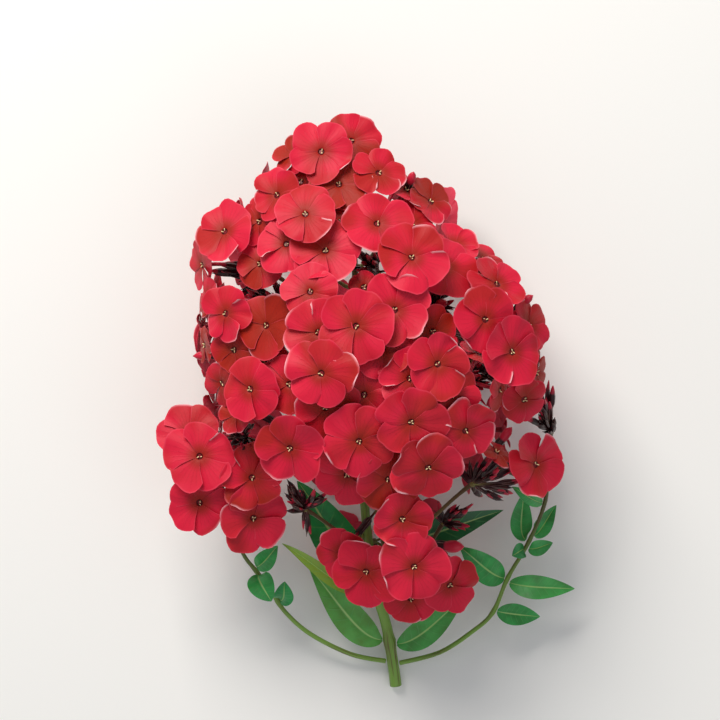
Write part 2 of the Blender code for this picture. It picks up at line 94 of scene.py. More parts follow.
# The head's outline: steps along, left edge, right edge.
OUTLINE = [
    (100, 342, 356), (150, 260, 402), (200, 232, 458), (250, 194, 494), (300, 190, 546), (350, 190, 554),
    (400, 194, 554), (450, 204, 520), (500, 262, 482), (550, 300, 484), (630, 310, 492),
]

# Flowers: x, y, radius, roll in degrees, layer, and for some the lean in degrees and the way it leans.
CYMES = {
    "cyme_top": [
        (321, 151, 32, 63, 3, 14, 110), (351, 138, 29, 28, 2, 16, 85), (292, 152, 23, 10, 0, 44, 140)],
    "cyme_top_left": [(277, 196, 28, 40, 2, 34, 150), (306, 216, 31, 82, 3), (300, 180, 21, 30, -3)],
    "cyme_top_middle": [(339, 184, 32, 25, 2), (379, 172, 28, 79, 2), (340, 222, 24, 15, -3)],
    "cyme_top_right": [
        (407, 188, 25, 20, 1, 62, 50), (432, 200, 26, 50, 1, 46, 40), (412, 224, 28, 40, -3)],
    "cyme_upper_left": [(287, 245, 31, 21, 1), (326, 252, 33, 20, 2), (259, 222, 25, 10, -1, 36, 165)],
    "cyme_upper_middle": [(377, 225, 34, 22, 2), (411, 259, 36, 46, 3)],
    "cyme_upper_right": [
        (446, 268, 34, 8, 2), (455, 244, 27, 30, 1, 48, 75), (485, 258, 24, 15, 0, 56, 60)],
    "cyme_shoulder_left": [
        (224, 231, 31, 55, 3, 32, 140), (199, 264, 26, 30, 1, 66, 190), (206, 298, 20, 5, 0, 60, 170)],
    "cyme_left": [
        (226, 314, 29, 70, 2), (267, 326, 32, 48, 1), (260, 264, 26, 25, -3), (234, 350, 24, 30, -2)],
    "cyme_centre_left": [(311, 293, 28, 16, 2), (319, 333, 34, 63, 2)],
    "cyme_centre": [(356, 327, 38, 3, 3), (394, 311, 36, 42, 2), (364, 288, 16, 10, -3)],
    "cyme_centre_right": [
        (382, 349, 30, 12, 1), (436, 364, 33, 8, 3), (409, 378, 31, 14, 2), (401, 386, 33, 44, 0)],
    "cyme_right": [(484, 320, 33, 40, 3), (511, 352, 33, 5, 3), (497, 284, 32, 50, 2)],
    "cyme_right_edge": [
        (530, 325, 28, 45, 1, 44, 20), (539, 373, 22, 30, 0, 62, 0), (525, 400, 24, 14, 2, 36, 320)],
    "cyme_lower_right": [(451, 395, 30, 62, 2), (464, 430, 31, 40, 3)],
    "cyme_middle_left": [(251, 389, 32, 24, 3), (290, 384, 32, 24, 0), (266, 362, 27, 5, -3)],
    "cyme_left_edge": [(202, 345, 20, 20, 0, 70, 185), (221, 384, 24, 50, 1, 52, 205)],
    "cyme_middle": [(322, 373, 35, 4, 3), (326, 407, 33, 40, 1), (364, 394, 27, 50, 0)],
    "cyme_lower_middle": [(359, 440, 37, 56, 3), (347, 475, 34, 65, 1), (291, 447, 35, 24, 3)],
    "cyme_lower_centre": [(410, 421, 36, 71, 3), (387, 434, 26, 20, 0)],
    "cyme_low_right": [(427, 466, 36, 4, 3), (388, 478, 34, 26, 1)],
    "cyme_low_middle": [(402, 518, 30, 12, 1), (341, 557, 28, 50, 0)],
    "cyme_base_left": [(366, 575, 37, 45, 2), (414, 566, 37, 3, 3)],
    "cyme_base_right": [(452, 590, 32, 15, 2), (412, 604, 29, 40, 0)],
}

# A peduncle that leaves the stem elsewhere than the rule says, to pass clear of its neighbour.
LEAVE_AT = {"cyme_low_right": 497}

# The side heads' flowers sit on a low round cap: middle x, middle y, reach in steps, foot and rise in mm.
CAPS = {
    "left": (214, 474, 88, 44, 26),
    "right": (530, 462, 60, 44, 22),
}
SIDE_CYMES = {
    "side_cyme_left": ("left", [(198, 457, 36, 13, 3), (186, 436, 31, 36, 2), (197, 505, 31, 0, 1)]),
    "side_cyme_middle": ("left", [(251, 479, 34, 21, 2), (252, 521, 37, 30, 1)]),
    "side_cyme_right": ("right", [(539, 466, 34, 45, 3, 38, 5)]),
}

# Closed buds and spent calyces: stem, where the branch leaves it, the hub, then each tip (x, y, height in
# mm) and how plump the bud is, if it is an older one.
BUDS = {
    "buds_right_gap": ("main", 556, (474, 486, 62), [
        (492, 455, 72), (506, 458, 66), (520, 468, 60), (525, 484, 56), (517, 497, 50), (500, 470, 78),
        (486, 500, 46), (458, 466, 60), (514, 428, 66, 1.3)]),
    "buds_low_right": ("main", 614, (446, 528, 41), [
        (470, 513, 57), (459, 508, 50), (473, 531, 46), (440, 507, 43)]),
    "buds_right_edge": ("right", 457, (556, 434, 48), [
        (553, 402, 60), (557, 386, 56), (536, 398, 70), (556, 424, 58), (528, 420, 66), (538, 392, 44)]),
    "buds_middle_gap": ("main", 444, (466, 380, 62), [
        (450, 340, 86), (460, 356, 90), (488, 366, 84), (482, 402, 66), (466, 404, 80),
        (478, 375, 86), (490, 378, 78), (484, 390, 76)]),
    "buds_upper_gap": ("main", 330, (430, 306, 72), [
        (420, 288, 92), (440, 292, 90), (454, 300, 84), (448, 316, 82), (410, 300, 92), (431, 287, 86),
        (446, 303, 90, 1.3), (424, 299, 94)]),
    "buds_left_gap": ("main", 470, (244, 440, 62), [
        (222, 418, 70), (232, 424, 78), (250, 424, 80), (219, 440, 66), (226, 454, 60), (240, 402, 72, 1.3),
        (234, 438, 78), (241, 450, 74), (228, 446, 72)]),
    "buds_low_left": ("main", 540, (304, 512, 60), [
        (286, 486, 66), (298, 490, 74), (314, 490, 76), (290, 506, 70), (324, 500, 74), (310, 538, 56)]),
}
# Buds that stand between the flowers of a cyme.
GAP_BUDS = {
    "cyme_shoulder_left": [(214, 262, 66), (219, 270, 62), (207, 269, 60), (226, 275, 60)],
    "cyme_upper_middle": [
        (358, 250, 96), (366, 256, 98), (361, 263, 94), (373, 262, 97), (356, 270, 92), (369, 268, 95)],
    "cyme_left": [(277, 284, 86), (266, 291, 88), (253, 285, 86), (246, 294, 80)],
    "cyme_base_left": [(466, 550, 60, 1.7)],
    "cyme_right_edge": [(534, 295, 78, 1.2)],
    "cyme_top_right": [(414, 171, 80, 1.2)],
    "cyme_left_edge": [(190, 356, 62, 1.2)],
}
# Flowers seen from the side that grow among those buds.
BUD_FLOWERS = {
    "buds_right_gap": [(498, 452, 20, 10, 0, 66, 55)],
    "buds_middle_gap": [(500, 390, 21, 10, 0, 64, 345), (478, 352, 20, 30, 0, 58, 65)],
    "buds_upper_gap": [(432, 332, 26, 20, -3)],
    "buds_left_gap": [(236, 414, 20, 10, -3, 40, 160)],
}

# The underside: where along the head each cyme sits, and its flowers as angle round the stem, shift along,
# and for some how far they turn towards the tip.
UNDERSIDE = {
    "under_cyme_top_left": (-1, 205, [(112, -20), (150, 22), (124, 52), (98, 16)]),
    "under_cyme_top_right": (1, 215, [(118, -4), (152, 30), (112, 60), (130, -64, 45)]),
    "under_cyme_upper_left": (-1, 320, [(108, -26), (134, -8), (166, -20), (108, 30), (96, 4)]),
    "under_cyme_upper_right": (1, 330, [(108, -20), (134, 10), (168, -10), (106, 36), (94, 8)]),
    "under_cyme_lower_left": (-1, 430, [(108, -22), (136, 4), (166, 40), (112, 34), (96, 8)]),
    "under_cyme_lower_right": (1, 440, [(108, -20), (136, 12), (166, 52), (112, 30), (98, -8)]),
    "under_cyme_base": (1, 545, [(136, -12), (118, 42), (198, 2, -20), (160, 48, -35)]),
}
UNDER_RADIUS = 30

# Leaves: stem, where they leave it, the tip (x, y, height in mm), width in mm, and how far they arch.
LEAVES = {
    "leaf_head_low_left": ("main", 596, (280, 548, 50), 6, 4),
    "leaf_head_left": ("main", 572, (295, 485, 38), 19, 3),
    "leaf_head_right": ("main", 560, (509, 516, 30), 14, -6),
    "leaf_main_left": ("main", 655, (307, 578, 22), 14, 6),
    "leaf_main_right": ("main", 660, (470, 606, 26), 12, 7),
    "leaf_left_node_inner": ("left", 577, (275, 552, 38), 8, 3),
    "leaf_left_node_outer": ("left", 583, (268, 610, 33), 11, 5),
    "leaf_left_low": ("left", 612, (282, 590, 32), 8, 3),
    "leaf_right_hanging": ("right", 549, (530, 497, 29), 9, -4),
    "leaf_right_upper": ("right", 541, (564, 511, 30), 7, -3),
    "leaf_right_small": ("right", 554, (560, 550, 30), 6, 2),
    "leaf_right_front": ("right", 556, (517, 562, 40), 6, 3),
    "leaf_right_top": ("right", 508, (516, 490, 50), 5, 3),
    "leaf_right_inner": ("right", 588, (463, 553, 40), 12, 6),
    "leaf_right_outer": ("right", 591, (584, 599, 22), 10, 5),
    "leaf_right_low_outer": ("right", 622, (549, 630, 12), 9, 3),
}

# How yellow a leaf's green is, where it is yellower than the others, or below zero how dark it is.
YELLOWER = {
    "leaf_head_low_left": 1.3, "leaf_main_left": 0.5, "leaf_main_right": 0.3, "leaf_right_outer": 0.2,
    "leaf_head_right": -0.9, "leaf_head_left": -0.3, "leaf_left_low": -0.4, "leaf_right_front": -0.5,
}

# Flowers of a deeper brick red, painted shade for flowers that lie in shade, by their steps. Every flower
# below layer 1 gets it too.
SHADED_BRICK = {
    (292, 152), (351, 138), (339, 184), (407, 188), (267, 326), (382, 349), (401, 386), (290, 384),
    (326, 407),
    (388, 478), (387, 434), (251, 479), (341, 557), (412, 604), (432, 200), (500, 390), (478, 352),
    (498, 452),
}


# ---------------------------------------------------------------- placing


def vec(x, y, z):
    """A point as an array."""
    return np.array((x, y, z), dtype=float)


def unit(v):
    """A vector, or each row of vectors, at length one."""
    return v / np.linalg.norm(v, axis=-1, keepdims=True)


def spot(x, y, height):
    """The point at a pair of steps and a height in metres."""
    return vec((x - MIDDLE_X) * STEP, (MIDDLE_Y - y) * STEP, height)


def catmull(points, shares):
    """Points on a Catmull-Rom line through the given ones, at the given shares of each span."""
    line = []
    for i in range(len(points) - 1):
        a, b, c, d = (points[k] for k in (max(i - 1, 0), i, i + 1, min(i + 2, len(points) - 1)))
        for t in shares:
            line.append(0.5 * (2 * b + (c - a) * t + (2 * a - 5 * b + 4 * c - d) * t * t
                               + (3 * b - a - 3 * c + d) * t ** 3))
    return line + [points[-1]]


def stem_line(rows, base, tip):
    """A stem's smooth axis as (point, radius) pairs, thinning from base to tip."""
    line = catmull([spot(x, y, z * MM) for x, y, z in rows], (0.0, 0.5))
    last = len(line) - 1
    return [(p, base + (tip - base) * i / last) for i, p in enumerate(line)]


def at_row(line, y):
    """The axis point, direction and radius of a stem where it passes the steps y."""
    level = (MIDDLE_Y - y) * STEP
    for (p, r), (q, s) in zip(line, line[1:]):
        if p[1] <= level <= q[1]:
            t = (level - p[1]) / (q[1] - p[1])
            return p + (q - p) * t, unit(q - p), r + (s - r) * t
    end = 0 if level < line[0][0][1] else -1
    other = 1 if end == 0 else -2
    way = unit(line[other][0] - line[end][0])
    return line[end][0].copy(), way if end == 0 else -way, line[end][1]


def between(rows, y):
    """The row of a table read at y, straight between its lines."""
    for low, high in zip(rows, rows[1:]):
        if low[0] <= y <= high[0]:
            t = (y - low[0]) / (high[0] - low[0])
            return [a + (b - a) * t for a, b in zip(low, high)]
    return rows[0] if y < rows[0][0] else rows[-1]


def dome(x, y, stem):
    """The height of the flowers' common surface over a spot: half an ellipse across the head, in metres."""
    if stem != "main":
        mx, my, reach, foot, rise = CAPS[stem]
        part = min(((x - mx) ** 2 + (y - my) ** 2) / reach ** 2, 1.0)
        return (foot + rise * sqrt(1.0 - part)) * MM
    _, left, right = between(OUTLINE, y)
    half = (right - left) / 2
    across = min(abs(x - (left + right) / 2), half)
    return at_row(LINES["main"], y)[0][2] + DOME_SHARE * STEP * sqrt(half * half - across * across)


def facing(x, y, stem):
    """The way a flower faces: out of the common surface, but turned back towards straight up."""
    reach = 12
    slope_x = (dome(x + reach, y, stem) - dome(x - reach, y, stem)) / (2 * reach * STEP)
    slope_y = (dome(x, y - reach, stem) - dome(x, y + reach, stem)) / (2 * reach * STEP)
    slope = hypot(slope_x, slope_y)
    lean = min(LEAN_SHARE * atan(slope), radians(LEAN_LIMIT))
    if slope < 1e-6:
        return vec(0, 0, 1)
    return vec(-slope_x / slope * sin(lean), -slope_y / slope * sin(lean), cos(lean))


def flower(row, stem):
    """A flower's limb from its table row: middle, facing, radius, roll and layer."""
    x, y, radius, roll, layer = row[:5]
    if len(row) == 7:
        lean, toward = radians(row[5]), radians(row[6])
        way = vec(cos(toward) * sin(lean), sin(toward) * sin(lean), cos(lean))
    else:
        way = facing(x, y, stem)
    height = dome(x, y, stem) - LAYER_DROP * (3 - layer) / 3
    # Flowers in the shaded list or below layer 1 are painted brick red: painted shade.
    return SimpleNamespace(middle=spot(x, y, height), way=way, radius=radius * STEP, roll=radians(roll),
                           layer=layer, shaded=float((x, y) in SHADED_BRICK or layer < 1), seed=x * 1000 + y,
                           place=(x, y))


def across(way):
    """Two directions square to a facing: the first as near to +X as it can be."""
    side = unit(vec(1, 0, 0) - way * way[0])
    return side, np.cross(way, side)


def rim(limb, share, count=12):
    """Points round a limb at a share of its radius."""
    side, other = across(limb.way)
    turn = np.arange(count)[:, None] * 2 * pi / count
    return limb.middle + (side * np.cos(turn) + other * np.sin(turn)) * limb.radius * share


def lift_over(limb, below):
    """How far a limb must rise to lie clear on top of one below it."""
    need = 0.0
    for upper, lower in ((limb, below), (below, limb)):
        points = np.vstack((rim(upper, 1.0), rim(upper, 0.5), upper.middle[None]))
        way = lower.way
        flat = points - lower.middle
        level = -(way[0] * flat[:, 0] + way[1] * flat[:, 1]) / way[2]
        foot = np.stack((flat[:, 0], flat[:, 1], level), axis=1)
        inside = np.linalg.norm(foot, axis=1) < lower.radius
        above = (flat[:, 2] - level)[inside]
        if len(above):
            lack = LIMB_CLEARANCE / way[2] - (above if upper is limb else -above)
            need = max(need, float(lack.max()))
    return need


def stack(limbs):
    """Lift the limbs, back layer first, until each lies over the ones behind it."""
    placed = []
    for limb in sorted(limbs, key=lambda one: one.layer):
        if limb.way[2] > 0.7:
            limb.middle[2] += max([lift_over(limb, one) for one in placed] + [0.0])
            placed.append(limb)


def bezier(a, b, c, d, t):
    """The points and directions at the values t on a cubic curve."""
    t = np.atleast_1d(t)[:, None]
    s = 1 - t
    point = a * s ** 3 + b * 3 * s * s * t + c * 3 * s * t * t + d * t ** 3
    way = (b - a) * s * s + (c - b) * 2 * s * t + (d - c) * t * t
    return point, unit(way)


def foot_on(line, y, toward):
    """Where a branch starts, a hair off a stem's skin, and the way it leaves the stem."""
    axis, way, radius = at_row(line, y)
    out = toward - axis
    out = unit(out - way * out.dot(way))
    return axis + out * (radius + GAP + 0.0002), out


def hub_of(limbs, line):
    """The point where the pedicels of a group of flowers meet, behind them, a little towards the stem."""
    back = sum(one.middle - one.way * LIMB_DEPTH for one in limbs) / len(limbs)
    axis, _, radius = at_row(line, MIDDLE_Y - back[1] / STEP)
    away = back - axis
    hub = axis + unit(away) * max(float(np.linalg.norm(away)) * 0.9, radius + LOWEST)
    hub[2] = max(hub[2], LOWEST)
    return hub


def leave_row(limbs, stem):
    """Where a peduncle leaves its stem: lower down than its flowers, the more so if they are far out."""
    middle = sum(one.middle for one in limbs) / len(limbs)
    y = MIDDLE_Y - middle[1] / STEP
    axis = at_row(LINES[stem], y)[0]
    return y + LEAVE_SHARE * hypot(middle[0] - axis[0], middle[2] - axis[2]) / STEP


def under_flower(side, row, angle, shift, ahead=0):
    """A flower on the hidden side: it faces out from the stem and lies on the surface if it gets there."""
    y = row + shift
    axis = at_row(LINES["main"], y)[0]
    _, left, right = between(OUTLINE, y)
    half = (right - left) / 2 * STEP * 0.9
    turn = radians(angle)
    out = vec(side * sin(turn), 0, cos(turn))
    reach = min(half, (axis[2] - 0.004) / max(-cos(turn), 0.05))
    way = out * cos(radians(ahead)) + vec(0, sin(radians(ahead)), 0)
    # Hidden flowers get half the painted brick shade.
    limb = SimpleNamespace(middle=axis + out * reach, way=way, radius=UNDER_RADIUS * STEP,
                           roll=radians(angle * 3 + row), shaded=0.5,
                           seed=angle * 7919 + y * 31 + side, place=None)
    low = float(rim(limb, LIMB_SHARE, 10)[:, 2].min())
    if low < LOWEST:
        limb.middle[2] -= low
    return limb


# ---------------------------------------------------------------- meshes

SHARP_ANGLE = 65.0


def grid_faces(rows, cols, wrap=False):
    """The four-cornered faces of a grid of rows and columns, closed round the columns if it wraps."""
    r, c = np.meshgrid(np.arange(rows - 1), np.arange(cols if wrap else cols - 1), indexing="ij")
    n = (c + 1) % cols
    r = r * cols
    return np.stack((r + c, r + n, r + cols + n, r + cols + c), axis=-1).reshape(-1, 4)


def shell_faces(rows, cols):
    """Faces of a closed shell of two grids, the front one first, with a strip all round their rim."""
    front = grid_faces(rows, cols)
    back = grid_faces(rows, cols)[:, ::-1] + rows * cols
    loop = np.concatenate((
        np.arange(cols),
        np.arange(1, rows) * cols + cols - 1,
        np.arange(cols - 2, -1, -1) + (rows - 1) * cols,
        np.arange(rows - 2, 0, -1) * cols,
    ))
    after = np.roll(loop, -1)
    strip = np.stack((after, loop, loop + rows * cols, after + rows * cols), axis=-1)
    return np.vstack((front, back, strip))


def grid_maps(u, v):
    """Map points of a grid from its columns' u and its rows' v."""
    return np.stack(np.broadcast_arrays(u[None], v[:, None]), axis=-1).reshape(-1, 2)


def shown(name, data):
    """A new object in the scene that holds the data."""
    made = bpy.data.objects.new(name, data)
    bpy.context.scene.collection.objects.link(made)
    return made


class Heap:
    """Surfaces gathered for one piece: points, four-cornered faces, a map point each and named values."""

    def __init__(self):
        self.points, self.faces, self.maps, self.values = [], [], [], []
        self.count = 0

    def add(self, points, faces, maps, **values):
        """Add one surface with its map points and one value, or one for each point, under each name."""
        size = len(points)
        self.points.append(points)
        self.faces.append(faces + self.count)
        self.maps.append(maps)
        self.values.append({name: np.broadcast_to(np.asarray(v, dtype=float).reshape(-1), (size,))
                            for name, v in values.items()})
        self.count += size

    def add_rings(self, rings, **values):
        """Add a tube of closed rings; a value is one number, one for each ring, or one for each point."""
        rows, sides = rings.shape[:2]
        values = {name: np.repeat(v, sides) if np.size(v) == rows else v for name, v in values.items()}
        self.add(rings.reshape(-1, 3), grid_faces(rows, sides, wrap=True),
                 grid_maps(np.arange(sides) / sides, np.linspace(0, 1, rows)), **values)

    def add_shell(self, front, back, maps, flip=False, **values):
        """Add a closed shell of two grids that share their map points, and mark the back one."""
        rows, cols = front.shape[:2]
        values = {name: np.tile(np.ravel(v), 2) if np.size(v) > 1 else v for name, v in values.items()}
        faces = shell_faces(rows, cols)[:, ::-1] if flip else shell_faces(rows, cols)
        self.add(np.concatenate((front, back)).reshape(-1, 3), faces, np.tile(maps, (2, 1)),
                 under=np.repeat((0.0, 1.0), rows * cols), **values)

    def piece(self, name, look, nodes):
        """Finish the piece: an object on the root body that stands for the nodes."""
        points = np.vstack(self.points)
        faces = np.vstack(self.faces)
        mesh = bpy.data.meshes.new(name)
        mesh.vertices.add(len(points))
        mesh.vertices.foreach_set("co", points.astype(np.float32).ravel())
        mesh.loops.add(faces.size)
        mesh.loops.foreach_set("vertex_index", faces.astype(np.int32).ravel())
        mesh.polygons.add(len(faces))
        mesh.polygons.foreach_set("loop_start", np.arange(0, faces.size, 4, dtype=np.int32))
        mesh.update(calc_edges=True)
        layer = mesh.uv_layers.new(name="surface")
        layer.data.foreach_set("uv", np.vstack(self.maps)[faces.ravel()].astype(np.float32).ravel())
        for key in self.values[0]:
            kept = mesh.attributes.new(key, "FLOAT", "POINT")
            kept.data.foreach_set("value", np.concatenate([v[key] for v in self.values]).astype(np.float32))
        mesh.validate()
        mesh.shade_smooth()
        mesh.set_sharp_from_angle(angle=radians(SHARP_ANGLE))
        mesh.materials.append(look)
        made = shown(name, mesh)
        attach(made, "root")
        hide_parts(*nodes)


def swept(path, ways, radii, guide, sides):
    """Rings carried along a path, square to it, each with its own radius or one radius for each side."""
    side = unit(guide - ways * (ways @ guide)[:, None])
    other = np.cross(ways, side)
    turn = np.arange(sides) * 2 * pi / sides
    if radii.ndim == 1:
        radii = radii[:, None] * np.ones(sides)
    return (path[:, None] + side[:, None] * (np.cos(turn) * radii)[..., None]
            + other[:, None] * (np.sin(turn) * radii)[..., None])


def add_rod(heap, path, ways, radii, guide, sides, kind, crest=0.0):
    """A closed rod: rings carried along a path, drawn in to almost nothing at both ends."""
    rows = np.arange(-1, len(path) + 1).clip(0, len(path) - 1)
    size = np.asarray(radii, dtype=float)[rows]
    size[[0, -1]] *= 0.02
    heap.add_rings(swept(path[rows], ways[rows], size, guide, sides),
                   kind=kind[rows] if np.size(kind) > 1 else kind, crest=crest)


# ---------------------------------------------------------------- flowers

# Rows of a petal from throat to rim, closer together where the margin curls.
PETAL_STEPS = np.array((0, 0.06, 0.13, 0.22, 0.33, 0.45, 0.57, 0.68, 0.78, 0.86, 0.92, 0.965, 1.0))
PETAL_COLS = 13
PETAL_THICKNESS = 0.00030
PETAL_LENGTH = 0.0145
THROAT_RADIUS = 0.0009

# A calyx's radius in a flower, its share of it row by row, and its sides: two for each of ten ribs.
CALYX_RADIUS = 0.00165
CALYX_FORM = np.array((0.35, 0.85, 1.0, 1.02, 1.0, 0.96, 0.92, 0.94, 1.0))
CALYX_SIDES = 20
BUD_SIDES = 12
PEDICEL_RADIUS = 0.0006
HUB_RADIUS = 0.0014

# 1 on the crest of each rib of a calyx and 0 in the groove beside it.
CALYX_CREST, BUD_CREST = [(1 + np.cos(np.arange(n) * pi)) / 2 for n in (CALYX_SIDES, BUD_SIDES)]

# Margins curled up and in, each lip painted pale pink as a painted highlight: flower, then the angle of
# each curl.
CURLS = {
    (351, 138): (185, 260), (379, 172): (250,), (326, 252): (285,), (411, 259): (20,),
    (409, 378): (150, 205),
    (451, 395): (170,), (427, 466): (150, 222), (251, 479): (130,), (539, 466): (262, 80),
    (414, 566): (205,),
    (412, 604): (150, 100), (319, 333): (95,), (436, 364): (60, 335), (464, 430): (140, 300),
    (511, 352): (250,),
    (359, 440): (20, 205), (306, 216): (330,), (290, 384): (75,), (394, 311): (215,), (484, 320): (240,),
    (198, 457): (60,), (322, 373): (355,), (401, 386): (110,), (287, 245): (200,), (497, 284): (300,),
    (226, 314): (40,), (366, 575): (100,), (402, 518): (240,), (321, 151): (330,), (377, 225): (300,),
}


def smooth(value, low, high):
    """A value taken smoothly from 0 at low to 1 at high."""
    part = np.clip((value - low) / (high - low), 0, 1)
    return part * part * (3 - 2 * part)


def add_petals(heap, limb):
    """Five closed petals.

    A point s of the way from throat to rim and t of the way from the midline to an edge lies at the angle
    t times the half width, at a radius that runs from the throat to a rim which draws in towards the edges.
    Its height adds a shallow funnel at the throat, a dish, a fall towards both edges, one edge lifted over
    the next petal, a groove on the midline, a wavy margin and, on some petals, a margin curled up and in.
    """
    pick = np.random.default_rng(limb.seed).uniform
    way = limb.way
    side, other = across(way)
    radius = limb.radius
    s = PETAL_STEPS[:, None]
    t = np.linspace(-1, 1, PETAL_COLS)[None]
    off = np.abs(t)
    dish = pick(-0.04, 0.10)
    lobed = pick(0.07, 0.20) + (0.08 if way[2] < 0.75 else 0.0)
    curls = CURLS.get(limb.place, ())
    for k in range(5):
        half = radians(36 + pick(6, 10))
        turn = limb.roll + radians(72 * k + pick(-4, 4))
        length = radius * pick(0.95, 1.10)
        angle = turn + t * (half + (radians(42) - half) * (1 - s) ** 2)
        angle = angle + 0.05 * np.sin(s * 5 + pick(0, 6.28)) * s
        draw = (1 - lobed * 0.5 * t ** 2 - lobed * off ** 4
                + pick(-0.10, 0.10) * t * (1 - t ** 2)
                + pick(0.015, 0.042) * np.sin(t * 3.9 + pick(0, 6.28))
                + pick(0.004, 0.016) * np.sin(t * 8.5 + pick(0, 6.28)))
        notch = 0.035 * np.exp(-((t - pick(-0.15, 0.15)) / 0.14) ** 2) * pick(-0.1, 1.2)
        edge = length * (draw - notch)
        out = THROAT_RADIUS + (edge - THROAT_RADIUS) * s
        wave = pick(0.03, 0.075) * np.sin(t * pick(2.2, 4.2) + pick(0, 6.28))
        wave = wave + pick(0.010, 0.028) * np.sin(t * 7.5 + s * 3 + pick(0, 6.28))
        crease = max(pick(-0.5, 0.16), 0.0)
        rise = (dish * s ** 2 - 0.055 * t ** 2 * s + 0.070 * t * s ** 0.8
                - 0.012 * np.exp(-(t / 0.14) ** 2) * s ** 0.5 + wave * s ** 2
                + pick(-0.08, 0.06) * s + pick(-0.09, 0.05) * s ** 4
                + crease * (off - 0.3) * s ** 1.5)
        # A thin pale painted highlight on the rim of about three petals in ten.
        shine = pick(-0.9, 0.9)
        pale = (smooth(s, 0.94, 1.0) * np.exp(-((t - shine) / pick(0.2, 0.5)) ** 2)
                * (0.85 if pick(0, 1) < 0.30 else 0.0))
        # Each curl lifts its lip and paints it pale as a painted highlight.
        for curl in curls:
            away = (radians(curl) - turn + pi) % (2 * pi) - pi
            at = away / radians(36)
            if abs(at) < 0.6:
                lip = np.exp(-((t - at) / 0.42) ** 2) * smooth(s, 0.80, 1.0)
                rise = rise + 0.12 * lip
                out = out - length * 0.06 * lip ** 2
                pale = np.maximum(pale, smooth(lip, 0.60, 0.95))
            elif 0.6 <= at < 1.4:
                lip = smooth(t, 0.65, 1.0) * smooth(s, 0.35, 0.8)
                rise = rise + 0.10 * lip
                angle = angle - 0.09 * lip ** 2
                pale = np.maximum(pale, smooth(lip, 0.5, 0.95))
        funnel = -0.0009 * np.exp(-((out - THROAT_RADIUS) / 0.0009))
        height = rise * radius + funnel
        flat = side * np.cos(angle)[..., None] + other * np.sin(angle)[..., None]
        front = limb.middle + flat * out[..., None] + way * height[..., None]
        margin = np.maximum(s, off)
        back = front - way * (PETAL_THICKNESS * (1 - 0.6 * margin ** 6))[..., None]
        front[..., 2] = np.maximum(front[..., 2], 0.00005)
        back[..., 2] = np.maximum(back[..., 2], 0.00030)
        # The petals' tone is painted brick shade on shaded flowers plus a random part.
        heap.add_shell(front, back, grid_maps((t[0] + 1) / 2, PETAL_STEPS),
                       tone=limb.shaded * 0.45 + pick(-0.10, 0.30),
                       reach=out / PETAL_LENGTH, pale=pale)


def add_stalk(heap, hub, limb):
    """Pedicel, ribbed calyx with five teeth, thin tube with an open mouth, and the anthers in it.

    All but the anthers are rings carried along one curve from the hub to the throat. The calyx's radius
    swells in ten ribs, and its last ring runs up and down in five teeth and turns in to a floor.
    """
    chance = np.random.default_rng(limb.seed + 5)
    end = limb.middle - limb.way * LIMB_THICKNESS
    span = float(np.linalg.norm(end - hub))
    share = np.linspace(0, 1, 26)
    points, ways = bezier(hub, hub + unit(end - hub) * span * 0.3, end - limb.way * span * 0.42, end,
                          share)
    tube = min(TUBE_LENGTH, span * 0.55) / span
    calyx = min(CALYX_LENGTH, span * 0.25) / span
    guide = across(limb.way)[1]
    low = 1 - tube - calyx
    lower = share <= low + 0.04
    thickness = np.interp(share[lower], (0, low * 0.8, low + 0.04), (PEDICEL_RADIUS, 0.00055, 0.0009))
    add_rod(heap, points[lower], ways[lower], thickness, guide, 7, np.linspace(0.0, 0.16, int(lower.sum())))
    upper = share >= 1 - tube - 0.04
    thickness = np.interp(share[upper], (1 - tube, 0.93, 1.0), (0.00085, 0.00095, 0.0012))
    add_rod(heap, points[upper], ways[upper], thickness, guide, 8,
            np.interp(share[upper], (1 - tube, 1.0), (0.46, 0.62)))
    at = np.linspace(low, low + calyx * 1.25, len(CALYX_FORM))
    centre = np.stack([np.interp(at, share, points[:, i]) for i in range(3)], axis=1)
    way = unit(np.stack([np.interp(at, share, ways[:, i]) for i in range(3)], axis=1))
    corners = np.arange(CALYX_SIDES)
    ribs = 1 + 0.07 * np.cos(corners * pi)
    sleeve = swept(centre, way, (CALYX_FORM * CALYX_RADIUS)[:, None] * ribs, guide, CALYX_SIDES)
    teeth = 0.5 + 0.5 * np.cos(corners * pi / 2)
    length = float(np.linalg.norm(points[-1] - points[0])) * calyx
    sleeve[-1] += way[-1] * (teeth * length * 0.34)[:, None] - way[-1] * length * 0.1
    sleeve[-2] += way[-1] * (teeth * length * 0.12)[:, None]
    inner = centre[-1] + (sleeve[-1] - centre[-1]) * 0.9 - way[-1] * 0.0001
    bed = centre[2] + (sleeve[2] - centre[2]) * 0.4
    foot = centre[0] + (sleeve[0] - centre[0]) * 0.05
    pit = centre[2] + np.zeros((CALYX_SIDES, 3))
    rings = np.concatenate((foot[None], sleeve, inner[None], bed[None], pit[None]))
    heap.add_rings(rings, kind=np.linspace(0.18, 0.42, len(rings)), crest=np.tile(CALYX_CREST, len(rings)))
    add_mouth(heap, limb, chance)


